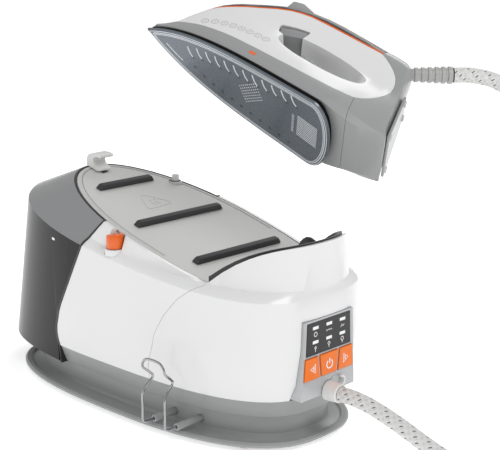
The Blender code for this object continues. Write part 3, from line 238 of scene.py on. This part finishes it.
def tank_plastic():
    """Smoked plastic, dark on its upright sides; a painted reflection makes it lighter where its faces turn up
    towards the lid.
    """
    mat = surface("smoked_plastic", (0.036, 0.036, 0.038), 0.20, 300, 0.008, 0.04, coat=0.03, specular=0.14)
    tree = mat.node_tree
    shader = tree.nodes["Principled BSDF"]
    # Painted reflection: the more a face turns upwards, the lighter grey it is painted.
    shape = node(tree, "ShaderNodeNewGeometry")
    split = node(tree, "ShaderNodeSeparateXYZ")
    tree.links.new(shape.outputs["Normal"], split.inputs["Vector"])
    painted_reflection_mask = node(tree, "ShaderNodeMapRange", interpolation_type="SMOOTHSTEP")
    painted_reflection_mask.inputs["From Min"].default_value = 0.20
    painted_reflection_mask.inputs["From Max"].default_value = 0.55
    tree.links.new(split.outputs["Z"], painted_reflection_mask.inputs["Value"])
    mix = node(tree, "ShaderNodeMix", data_type="RGBA")
    mix.inputs[MIX_A].default_value = (0.014, 0.014, 0.015, 1)
    mix.inputs[MIX_B].default_value = (0.270, 0.273, 0.277, 1)
    tree.links.new(painted_reflection_mask.outputs["Result"], mix.inputs[0])
    tree.links.new(mix.outputs[MIX_OUT], shader.inputs["Base Color"])
    return mat


def finishes():
    """Every finish by its short name, with its colour, roughness, grain and the depth of the grain."""
    return {
        "white": surface("white_plastic", (0.76, 0.76, 0.765), 0.22, 500, 0.010, 0.03, coat=0.35, vary=0.01),
        "grey": surface("grey_plastic", (0.30, 0.305, 0.307), 0.34, 1400, 0.05, 0.05, vary=0.03),
        "shell": surface("satin_grey_plastic", (0.315, 0.32, 0.322), 0.30, 1600, 0.04, 0.05, coat=0.2,
                         vary=0.02),
        # Painted shade: this dark grey is used only for the line that stands in for the plate's groove.
        "dark": surface("painted_groove_shade", (0.16, 0.163, 0.165), 0.36, 1400, 0.05, 0.05, vary=0.03),
        "mid": surface("trigger_plastic", (0.27, 0.275, 0.277), 0.38, 1400, 0.05, 0.05, vary=0.03),
        "boot": surface("boot_plastic", (0.40, 0.40, 0.395), 0.42, 1400, 0.05, 0.05, vary=0.03),
        # Painted shade: near black, so that the heat shield shows the gap between sole and shell as a dark line.
        "shadow": surface("matt_black_gap_shade", (0.005, 0.005, 0.005), 0.85, 900, 0.02, 0.05, specular=0.1),
        "light": surface("light_grey_plastic", (0.60, 0.60, 0.585), 0.50, 1700, 0.09, 0.06, vary=0.03),
        "pale": surface("pale_plastic", (0.74, 0.74, 0.73), 0.38, 900, 0.03, 0.04, vary=0.02),
        "silver": surface("silver_plastic", (0.47, 0.48, 0.49), 0.34, 2200, 0.05, 0.05, metal=0.25,
                          vary=0.02),
        "black": surface("black_plastic", (0.022, 0.022, 0.024), 0.34, 1200, 0.04, 0.06),
        "rubber": surface("black_rubber", (0.032, 0.032, 0.034), 0.62, 1600, 0.14, 0.08, vary=0.08),
        "smoke": tank_plastic(),
        "orange": surface("orange_plastic", (0.80, 0.125, 0.003), 0.26, 700, 0.02, 0.04, coat=0.3, vary=0.02),
        "key": surface("orange_key", (0.86, 0.175, 0.004), 0.34, 900, 0.03, 0.04, coat=0.1, vary=0.02),
        "sole": surface("glazed_sole", (0.125, 0.145, 0.170), 0.27, 2600, 0.10, 0.06, metal=0.45, coat=0.25,
                        vary=0.06),
        "line": surface("bright_line", (0.66, 0.69, 0.72), 0.35, 1500, 0.02, 0.04, metal=0.2),
        "chrome": surface("chrome", (0.36, 0.36, 0.37), 0.10, 400, 0.01, 0.02, metal=1.0),
        "steel": surface("brushed_steel", (0.52, 0.53, 0.54), 0.32, 1800, 0.08, 0.08, metal=1.0),
        "aluminium": surface("cast_aluminium", (0.60, 0.61, 0.62), 0.42, 700, 0.14, 0.08, metal=1.0),
        "brass": surface("brass", (0.65, 0.46, 0.18), 0.30, 1300, 0.05, 0.06, metal=1.0),
        "green": surface("circuit_board", (0.015, 0.13, 0.055), 0.42, 900, 0.06, 0.06, vary=0.15),
        "white_ink": surface("white_print", (0.88, 0.88, 0.88), 0.42, 1500, 0.01, 0.04, vary=0.01),
        "grey_ink": surface("grey_print", (0.42, 0.42, 0.42), 0.5, 1500, 0.01, 0.04, vary=0.02),
        "hose": braid(),
    }


FINISH = finishes()


# Shapes.


def link(name, bm, finish, body, smooth=False, matrix=None):
    """A named piece with one finish, from bm. It rides on a body, if one is given."""
    if matrix is not None:
        bm.transform(matrix)
    bmesh.ops.recalc_face_normals(bm, faces=bm.faces)
    mesh = bpy.data.meshes.new(name)
    bm.to_mesh(mesh)
    bm.free()
    if smooth:
        mesh.shade_smooth()
        mesh.set_sharp_from_angle(angle=math.radians(40))
    mesh.materials.append(FINISH[finish])
    obj = bpy.data.objects.new(name, mesh)
    bpy.context.scene.collection.objects.link(obj)
    if body:
        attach(obj, body)
    return obj


def slab(bm, points, low, high):
    """An upright slab from a flat outline."""
    a = [bm.verts.new((x, y, low)) for x, y in points]
    b = [bm.verts.new((x, y, high)) for x, y in points]
    bm.faces.new(a)
    bm.faces.new(b)
    for i in range(len(a)):
        j = (i + 1) % len(a)
        bm.faces.new((a[i], a[j], b[j], b[i]))


def edges(line, width, closed):
    """For each point of a flat line, the two points at its edges."""
    count = len(line)
    for i in range(count):
        before = Vector(line[(i - 1) % count] if closed else line[max(0, i - 1)])
        after = Vector(line[(i + 1) % count] if closed else line[min(count - 1, i + 1)])
        run = (after - before).normalized()
        across = Vector((-run.y, run.x)) * width / 2
        yield Vector(line[i]) + across * -1, Vector(line[i]) + across


def ribbon(bm, line, width, low, high, closed=False):
    """A flat raised line along points."""
    count = len(line)
    sides = list(zip(*edges(line, width, closed)))
    rows = [[bm.verts.new((p.x, p.y, z)) for p in side] for side in sides for z in (low, high)]
    left_low, left_high, right_low, right_high = rows
    for i in range(count if closed else count - 1):
        j = (i + 1) % count
        bm.faces.new((left_high[i], left_high[j], right_high[j], right_high[i]))
        bm.faces.new((left_low[i], left_low[j], right_low[j], right_low[i]))
        bm.faces.new((left_low[i], left_low[j], left_high[j], left_high[i]))
        bm.faces.new((right_low[i], right_low[j], right_high[j], right_high[i]))
    if not closed:
        for i in (0, count - 1):
            bm.faces.new((left_low[i], left_high[i], right_high[i], right_low[i]))


def circle(x, y, radius, count=20, start=0.0, turn=2 * math.pi):
    """Points of a circle, or of an arc that stops one step short of turn."""
    return [
        (x + radius * math.cos(start + turn * i / count), y + radius * math.sin(start + turn * i / count))
        for i in range(count)
    ]


def smooth_path(points, step):
    """A smooth curve through points, as a list of vectors about a step apart."""
    points = [Vector(p) for p in points]
    ends = [2 * points[0] - points[1]] + points + [2 * points[-1] - points[-2]]
    path = []
    for a, b, c, d in zip(ends, ends[1:], ends[2:], ends[3:]):
        count = max(1, round((c - b).length / step))
        for i in range(count):
            t = i / count
            path.append(
                0.5 * (2 * b + (c - a) * t + (2 * a - 5 * b + 4 * c - d) * t * t + (3 * b - a - 3 * c + d) * t**3)
            )
    return path + [points[-1]]


def sweep(name, path, radius, finish, sides=16):
    """A round tube along a path, on no body, with its girth and its length in metres as its UV."""
    bm = bmesh.new()
    uv = bm.loops.layers.uv.new("UVMap")
    rings, travelled = [], [0.0]
    normal = Vector((0, 0, 1))
    for i, p in enumerate(path):
        run = (path[min(len(path) - 1, i + 1)] - path[max(0, i - 1)]).normalized()
        normal = (normal - run * normal.dot(run)).normalized()
        other = run.cross(normal)
        if i:
            travelled.append(travelled[-1] + (p - path[i - 1]).length)
        rings.append([
            bm.verts.new(p + radius * (math.cos(a) * normal + math.sin(a) * other))
            for a in (2 * math.pi * k / sides for k in range(sides))
        ])
    for i in range(len(rings) - 1):
        for k in range(sides):
            j = (k + 1) % sides
            face = bm.faces.new((rings[i][k], rings[i][j], rings[i + 1][j], rings[i + 1][k]))
            corners = ((k, i), (k + 1, i), (k + 1, i + 1), (k, i + 1))
            for loop, (around, along) in zip(face.loops, corners):
                loop[uv].uv = (around / sides, travelled[along])
    bm.faces.new(rings[0])
    bm.faces.new(rings[-1])
    return link(name, bm, finish, None, smooth=True), travelled[-1]


# Hose: one cord from the base's gland, through a coil on the floor, and up to the iron's boot.

HOSE_RADIUS = 0.0072
COIL_X, COIL_Y = 0.409, 0.135
COIL_OUT, COIL_IN = 0.0842, 0.0698
BASE_RUN = (
    (0.2165, 0.0000, 0.0505), (0.2300, 0.0000, 0.0503), (0.2450, 0.0000, 0.0488), (0.2620, 0.0002, 0.0450),
    (0.2835, 0.0005, 0.0385), (0.3065, 0.0015, 0.0298), (0.3300, 0.0060, 0.0200), (0.3510, 0.0150, 0.0125),
    (0.3735, 0.0300, 0.0092),
)
RISER = (
    (0.4090, 0.2360, 0.0120), (0.3825, 0.2480, 0.0180), (0.3550, 0.2540, 0.0320), (0.3310, 0.2530, 0.0600),
    (0.3150, 0.2480, 0.1000), (0.3045, 0.2425, 0.1480), (0.2960, 0.2370, 0.1950), (0.2880, 0.2300, 0.2350),
    (0.2760, 0.2200, 0.2700), (0.2600, 0.2070, 0.2990), (0.2425, 0.1900, 0.3160), (0.2256, 0.1737, 0.3222),
    (0.2128, 0.1610, 0.3226),
)


def ease(a, b, t):
    """Goes smoothly from a to b as t goes from 0 to 1."""
    t = min(1.0, max(0.0, t))
    return a + (b - a) * t * t * (3 - 2 * t)


def coil_points():
    """Most of a wide turn, most of a narrow turn inside it, and most of a turn on top of both."""
    points = []
    floor = 0.0082
    start, end, step = -82, 778, 10  # in degrees, as are the next four
    narrowing, climbing, crossing, leaving = 185, 500, 588, 740
    for degrees in range(start, end, step):
        if degrees < climbing:
            radius, height = ease(COIL_OUT, COIL_IN, (degrees - narrowing) / 80), floor
        else:
            lean = math.radians(ease(0, 60, (degrees - climbing) / 60))
            radius = COIL_OUT - 2 * HOSE_RADIUS * math.cos(lean)
            height = floor + 2 * HOSE_RADIUS * math.sin(lean)
            over = 1 - min(1.0, abs(degrees - crossing) / 60)
            height += 0.0022 * ease(0, 1, over)
            last = ease(0, 1, (degrees - leaving) / 45)
            radius += 0.006 * last
            height -= 0.0030 * last
        angle = math.radians(degrees)
        points.append((COIL_X + radius * math.cos(angle), COIL_Y + radius * math.sin(angle), height))
    return points


def hose():
    """The steam hose as one cord, with the two straps round its coil."""
    route = [place(*p) for p in list(BASE_RUN) + coil_points() + list(RISER)]
    path = smooth_path(route, 0.0035)
    piece, length = sweep("steam_hose", path, HOSE_RADIUS, "hose")
    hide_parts("hose_base_run", "hose_coil", "hose_riser")
    for i, degrees in enumerate((0, 300), 1):
        coil_tie(f"hose_tie_{i}", math.radians(degrees))
    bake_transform(piece)


def coil_tie(name, angle):
    """A soft strap that goes once round the coil's turns."""
    bm = bmesh.new()
    outline = [
        (0.0606, 0.0012), (0.0620, 0.0004), (0.0700, 0.0003), (0.0840, 0.0003), (0.0905, 0.0004),
        (0.0926, 0.0030),
        (0.0930, 0.0090), (0.0918, 0.0160), (0.0860, 0.0250), (0.0820, 0.0292), (0.0770, 0.0302),
        (0.0715, 0.0292),
        (0.0670, 0.0240), (0.0615, 0.0150), (0.0602, 0.0090),
    ]
    out = Vector((math.cos(angle), math.sin(angle), 0))
    side = Vector((-math.sin(angle), math.cos(angle), 0))
    middle = place(COIL_X, COIL_Y, 0.0)
    heart = Vector((0.0766, 0.0145))
    rings = []
    for grow, across in ((0.0, -0.0045), (0.0008, -0.0045), (0.0010, 0.0), (0.0008, 0.0045), (0.0, 0.0045)):
        ring = []
        for r, z in outline:
            step = (Vector((r, z)) - heart).normalized() * grow
            height = Vector((0, 0, max(0.0, z + step.y)))
            ring.append(bm.verts.new(middle + out * (r + step.x) + side * across + height))
        rings.append(ring)
    for i in range(len(rings)):
        first, second = rings[i], rings[(i + 1) % len(rings)]
        for k in range(len(outline)):
            j = (k + 1) % len(outline)
            bm.faces.new((first[k], first[j], second[j], second[k]))
    return link(name, bm, "black", "base", smooth=True)


# Detail on the iron.

SOLE_LENGTH, SOLE_HALF = 0.222, 0.0422
TIP = -SOLE_LENGTH / 2


def widening(share):
    """The sole's half width as a share of its full one, at a share of the way back from the tip."""
    return 0.26 * share + 0.74 * (1 - (1 - share) ** 4)


def sole_line(inset, count=140):
    """The sole's outline, moved inwards."""
    widest = TIP + 0.90 * SOLE_LENGTH
    heel = SOLE_LENGTH / 2
    heel_share, tip_share, roundness = 0.42, 0.58, 2 / 2.1
    side = [(heel, 0.0)]
    for i in range(1, count // 2):
        share = i / (count / 2)
        if share < heel_share:
            turn = share / heel_share * math.pi / 2
            side.append((widest + (heel - widest) * math.cos(turn) ** roundness,
                         SOLE_HALF * math.sin(turn) ** roundness))
        else:
            ahead = (1 - (share - heel_share) / tip_share) ** 1.2
            side.append((TIP + (widest - TIP) * ahead, SOLE_HALF * widening(ahead)))
    moved = []
    for i, (x, y) in enumerate(side):
        before = side[i - 1] if i else (side[1][0], -side[1][1])
        after = side[min(len(side) - 1, i + 1)]
        run = (Vector(after) - Vector(before)).normalized()
        point = Vector((x, y)) + Vector((-run.y, run.x)) * inset
        if point.y > 0.0008 or i == 0:
            moved.append((point.x, point.y if i else 0.0))
    tip = moved[-1][0] - moved[-1][1] * 1.1
    return moved + [(tip, 0.0)] + [(x, -y) for x, y in reversed(moved[1:])]


def slot_centres():
    """The middles of the row of slots along one side of the sole."""
    shares = [i / 11 for i in range(12)]
    return [(-0.0545 + 0.124 * share, -0.0075 - 0.0215 * share**0.62) for share in shares]


def sole_detail():
    """Lines, slots, holes and a fine pattern, all of them thin pieces on the face of the sole."""
    low, high = -0.00009, 0.00010
    bm = bmesh.new()
    ribbon(bm, sole_line(0.0019), 0.0007, low, 0.0003, closed=True)
    ribbon(bm, sole_line(0.0040), 0.0010, low, high, closed=True)
    ribbon(bm, sole_line(0.0056), 0.0007, low, high, closed=True)
    near_tip = [(-0.0850 + 0.0030 * i, 0.0012 + 0.0105 * math.sin(min(1.0, i / 9) * 1.35)) for i in range(8)]
    ribbon(bm, near_tip, 0.0013, low, high)
    for x, y in slot_centres():
        ribbon(bm, [(x - 0.0032, y - 0.0052), (x - 0.0018, y - 0.0014), (x + 0.0004, y + 0.0022),
                    (x + 0.0034, y + 0.0046)], 0.0015, low, high)
    link("sole_lines", bm, "line", "iron", matrix=IRON)
    bm = bmesh.new()
    for x, y in slot_centres():
        slab(bm, circle(x + 0.0042, y + 0.0053, 0.0013, 12), low * 0.8, high)
    for i in range(11):
        share = i / 10
        slab(bm, circle(-0.0483 + 0.1157 * share, 0.0086 + 0.0195 * share**0.6, 0.0015, 12), low * 0.8, high)
    link("sole_steam_holes", bm, "black", "iron", matrix=IRON)
    bm = bmesh.new()
    for i in range(9):
        for j in range(7):
            slab(bm, circle(0.0070 + 0.0023 * i + 0.0014 * j, -0.0050 + 0.0026 * j - 0.0019 * i, 0.0007, 6),
                 low * 0.7, high)
    for i in range(12):
        ribbon(bm, [(0.0752, -0.0140 + 0.0022 * i), (0.0980, -0.0118 + 0.0022 * i)], 0.0009, low * 0.7, high)
    for i in range(9):
        ribbon(bm, [(0.0690, -0.0120 + 0.0026 * i), (0.0715, -0.0105 + 0.0026 * i)], 0.0008, low * 0.7, high)
    link("sole_fine_pattern", bm, "line", "iron", matrix=IRON)


def iron_badge_row():
    """A row of plain rings engraved along the near side of the nose, and one small plain orange flash."""
    shell = NODES["handle_shell"]
    lower = NODES["lower_shell"]
    centres = ((-0.0617, 0.0292), (-0.0528, 0.0332), (-0.0438, 0.0363), (-0.0348, 0.0386), (-0.0258, 0.0402),
               (-0.0168, 0.0414), (-0.0078, 0.0424), (0.0012, 0.0432))
    bm = bmesh.new()
    for x, z in centres:
        ribbon_on(bm, shell, circle(x, z, 0.0034, 22), 0.0006, closed=True)
        ribbon_on(bm, shell, [(x - 0.0012, z - 0.0010), (x, z + 0.0012), (x + 0.0012, z - 0.0010)], 0.0004)
    link("engraved_rings", bm, "grey_ink", "iron", smooth=True)
    bm = bmesh.new()
    ribbon_on(bm, lower, [(0.0040 + 0.0008 * i, 0.0162) for i in range(10)], 0.0038)
    link("orange_flash", bm, "orange", "iron")


def on_side(obj, x, z, reverse):
    """The point of a node's near side at (x, z) of the iron's frame, with its normal."""
    start = IRON @ Vector((x, -0.20, z))
    run = (IRON.to_3x3() @ Vector((0, 1, 0))).normalized()
    hit, point, normal, _ = obj.ray_cast(reverse @ start, run)
    return (point, normal) if hit else (None, None)


def strip_sides(bm, pairs, closed=False):
    """The four long sides of a thin strip: a pair holds a row's two corners, each above and below."""
    count = len(pairs)
    for i in range(count if closed else count - 1):
        (a, a_low), (b, b_low) = pairs[i]
        (c, c_low), (d, d_low) = pairs[(i + 1) % count]
        bm.faces.new((a, b, d, c))
        bm.faces.new((a_low, b_low, d_low, c_low))
        bm.faces.new((a, c, c_low, a_low))
        bm.faces.new((b, d, d_low, b_low))


def ribbon_on(bm, obj, line, width, closed=False):
    """A flat line laid on a node's near side, a hair above it."""
    reverse = obj.matrix_world.inverted()
    pairs = []
    for ends in edges(line, width, closed):
        pair = []
        for p in ends:
            point, normal = on_side(obj, p.x, p.y, reverse)
            if point is None:
                return
            pair.append((bm.verts.new(point + normal * 0.00012), bm.verts.new(point - normal * 0.0002)))
        pairs.append(pair)
    strip_sides(bm, pairs, closed)
    if not closed:
        for (a, a_low), (b, b_low) in (pairs[0], pairs[-1]):
            bm.faces.new((a, b, b_low, a_low))


# Detail on the panel and the plate.


def panel_detail():
    """Lamps and simple signs on the window, and signs on the three keys."""
    low, high = -0.0004, 0.00030
    columns = (-0.0185, 0.0, 0.0185)
    bm = bmesh.new()
    for y in columns:
        for z in (0.1139, 0.1007):
            slab(bm, [(y - 0.0038, z - 0.0014), (y + 0.0038, z - 0.0014), (y + 0.0038, z + 0.0014),
                      (y - 0.0038, z + 0.0014)], low, high)
    link("panel_lamps", bm, "white_ink", "base", matrix=PANEL)
    bm = bmesh.new()
    ribbon(bm, circle(columns[0], 0.1080, 0.0020, 16), 0.0006, low, high, closed=True)
    ribbon(bm, [(columns[1] - 0.0040 + 0.0010 * i, 0.1076 + 0.0012 * (i % 2)) for i in range(9)], 0.0005,
           low, high)
    ribbon(bm, [(columns[2] - 0.0024, 0.1064), (columns[2] - 0.0008, 0.1092), (columns[2] + 0.0008, 0.1070),
                (columns[2] + 0.0024, 0.1086)], 0.0006, low, high)
    for y, radius in zip(columns, (0.0010, 0.0014, 0.0018)):
        ribbon(bm, circle(y, 0.0954, radius, 16), 0.0006, low, high, closed=True)
        ribbon(bm, [(y, 0.0954 - radius), (y, 0.0916)], 0.0006, low, high)
    link("panel_signs", bm, "white_ink", "base", matrix=PANEL)
    key_face = 0.0013
    key_low, key_high = key_face - 0.0004, key_face + 0.0002
    for name, sign in (("key_minus", -1), ("key_plus", 1)):
        bm = bmesh.new()
        y = sign * 0.0225
        ribbon(bm, [(y - sign * 0.0030, 0.0722), (y - sign * 0.0030, 0.0806), (y + sign * 0.0032, 0.0764)],
               0.0010, key_low, key_high, closed=True)
        ribbon(bm, [(y - sign * 0.0008, 0.0745), (y - sign * 0.0008, 0.0783)], 0.0010, key_low, key_high)
        link(name.replace("key", "arrow"), bm, "white_ink", name, matrix=PANEL)
    bm = bmesh.new()
    ribbon(bm, circle(0.0, 0.0760, 0.0040, 24, math.radians(125), math.radians(302)), 0.0011, key_low,
           key_high)
    ribbon(bm, [(0.0, 0.0766), (0.0, 0.0815)], 0.0011, key_low, key_high)
    link("power_sign", bm, "white_ink", "key_power", matrix=PANEL)


def plate_detail():
    """A three-cornered sign with two waves in it, raised on the rest plate."""
    low, high = -0.0004, 0.00035
    turn = math.cos(PLATE_TILT)
    bm = bmesh.new()
    corners = [(-0.050 / turn, -0.002), (-0.022 / turn, 0.019), (-0.019 / turn, -0.018)]
    outline = []
    for i in range(3):
        a, b = Vector(corners[i]), Vector(corners[(i + 1) % 3])
        outline += [a + (b - a) * t for t in (0.10, 0.5, 0.90)]
    ribbon(bm, outline, 0.0011, low, high, closed=True)
    for shift in (-0.0030, 0.0030):
        wave = [(-0.0370 + 0.0016 * i, shift + 0.0012 * math.sin(i * 1.1)) for i in range(8)]
        ribbon(bm, wave, 0.0009, low, high)
    link("plate_heat_sign", bm, "light", "base", smooth=True, matrix=PLATE)


def plate_rim(inset, width, low, high, name, finish):
    """A line round the nose of the plate, a little inside its edge, open towards the heel."""
    line = []
    steps, middle, half_width, stop = 96, 0.03, 0.0775, 0.070
    for i in range(steps):
        turn = 2 * math.pi * i / steps
        c, s = math.cos(turn), math.sin(turn)
        reach, power = (0.1570, 2.65) if c >= 0 else (0.1550, 2.0)
        x = middle + math.copysign(abs(c) ** (2 / power), c) * (reach - inset)
        y = math.copysign(abs(s) ** (2 / power), s) * (half_width - inset)
        if x < stop:
            line.append((x / math.cos(PLATE_TILT), y))
    line = sorted((p for p in line if p[1] >= 0), key=lambda p: -p[0]) + sorted(
        (p for p in line if p[1] < 0), key=lambda p: p[0])
    bm = bmesh.new()
    ribbon(bm, line, width, low, high)
    link(name, bm, finish, "base", smooth=True, matrix=PLATE)


def button_ring():
    """A dark ring on the boss round the foot of the catch's button: a painted shadow at the button's base."""
    bm = bmesh.new()
    ribbon(bm, circle(0.0, 0.0, 0.0048, 32), 0.0014, -0.0004, 0.0006, closed=True)
    seat = Matrix.Translation(place(-0.0590, 0.0560, plate_face(-0.0590) + 0.0016))
    link("catch_button_painted_shadow", bm, "black", "base", smooth=True, matrix=seat)


def tank_detail():
    """A short level mark on the near side of the tank."""
    bm = bmesh.new()
    tank = NODES["water_tank"]
    reverse = tank.matrix_world.inverted()
    pairs = []
    for x in (-0.0840, -0.0815, -0.0790):
        pair = []
        for z in (0.1570, 0.1594):
            start = place(x, -0.20, z)
            hit, point, normal, _ = tank.ray_cast(reverse @ start, Vector((0, 1, 0)))
            pair.append((bm.verts.new(point + normal * 0.0001), bm.verts.new(point - normal * 0.0002)))
        pairs.append(pair)
    strip_sides(bm, pairs)
    link("tank_level_mark", bm, "white_ink", "tank")


def heel_feet():
    """Four low pads on the plate that the iron stands on."""
    lean = math.atan2(0.0365, 0.0935)
    seat = IRON @ Matrix.Translation((0.1579, 0, 0.0185)) @ Matrix.Rotation(-lean, 4, "Y")
    turn = Matrix(((0, 0, 1, 0), (0, 1, 0, 0), (-1, 0, 0, 0), (0, 0, 0, 1)))
    bm = bmesh.new()
    for y, z in ((-0.022, 0.0095), (0.022, 0.0095), (-0.0095, 0.0640), (0.0095, 0.0640)):
        slab(bm, circle(-z, y, 0.0032, 16), 0.0022, 0.0040)
    link("heel_pads", bm, "light", "iron", matrix=seat @ turn)


# Materials on the CAD nodes.

LOOK = {
    "white": "side_housing front_housing handle_shell knob_collar",
    "pale": "catch_button hose_gland hose_eyelet nose_catch",
    "grey": "base_pan clip_socket_1 clip_socket_2 pump steam_button temperature_dial",
    "shell": "lower_shell rear_cover heel_rest",
    "mid": "steam_trigger",
    "boot": "cord_boot",
    "light": "rest_plate catch_button_boss",
    "silver": "panel_bezel",
    "black": "heel_cup_liner heel_guide tank_gasket nose_gasket display_window mains_gland tank_valve "
             "handle_top_trim",
    # Painted shade: the heat shield is near black to stand for the shaded gap between sole and shell.
    "shadow": "heat_shield",
    "rubber": "foot_1 foot_2 foot_3 foot_4 rest_ridge_1 rest_ridge_2 rest_ridge_3 feed_pipe steam_pipe "
              "iron_steam_pipe",
    "smoke": "water_tank",
    "orange": "steam_knob accent_strip",
    "key": "button_minus button_power button_plus",
    "sole": "soleplate",
    "chrome": "wire_clip",
    "steel": "boiler boiler_heater dial_shaft",
    "aluminium": "boiler_thermostat heater_block",
    "brass": "steam_valve sole_thermostat",
    "green": "control_board",
    "hose": "hose_base_run hose_coil hose_riser",
}

LARGE = (
    "side_housing front_housing handle_shell rest_plate panel_bezel lower_shell rear_cover water_tank "
    "base_pan soleplate nose_catch steam_knob heel_rest"
).split()
LARGE_EDGE, SMALL_EDGE = 0.0006, 0.0002


def round_off(obj, width):
    """Smooth shading on curved faces, and a fine radius on the sharp edges."""
    mesh = obj.data
    for name in ("custom_normal", "sharp_edge"):
        if name in mesh.attributes:
            mesh.attributes.remove(mesh.attributes[name])
    mesh.shade_smooth()
    weld = obj.modifiers.new("weld", "WELD")
    weld.merge_threshold = 0.00001
    bevel = obj.modifiers.new("edges", "BEVEL")
    bevel.width = width
    bevel.segments = 2
    bevel.limit_method = "ANGLE"
    bevel.angle_limit = math.radians(32)
    bevel.harden_normals = True


def dress():
    """Gives every CAD node its finish and its fine edges."""
    for finish, names in LOOK.items():
        for name in names.split():
            obj = NODES[name]
            obj.data.materials.clear()
            obj.data.materials.append(FINISH[finish])
            round_off(obj, LARGE_EDGE if name in LARGE else SMALL_EDGE)


camera()
studio()
hose()
dress()
sole_detail()
iron_badge_row()
panel_detail()
plate_detail()
plate_rim(0.0042, 0.0013, -0.0005, 0.00045, "plate_lip", "light")
# Painted shade: a dark line, almost flush with the plate, stands in for the shade inside a groove.
plate_rim(0.0060, 0.0007, -0.0005, 0.00006, "plate_groove_painted_shade", "dark")
button_ring()
tank_detail()
heel_feet()
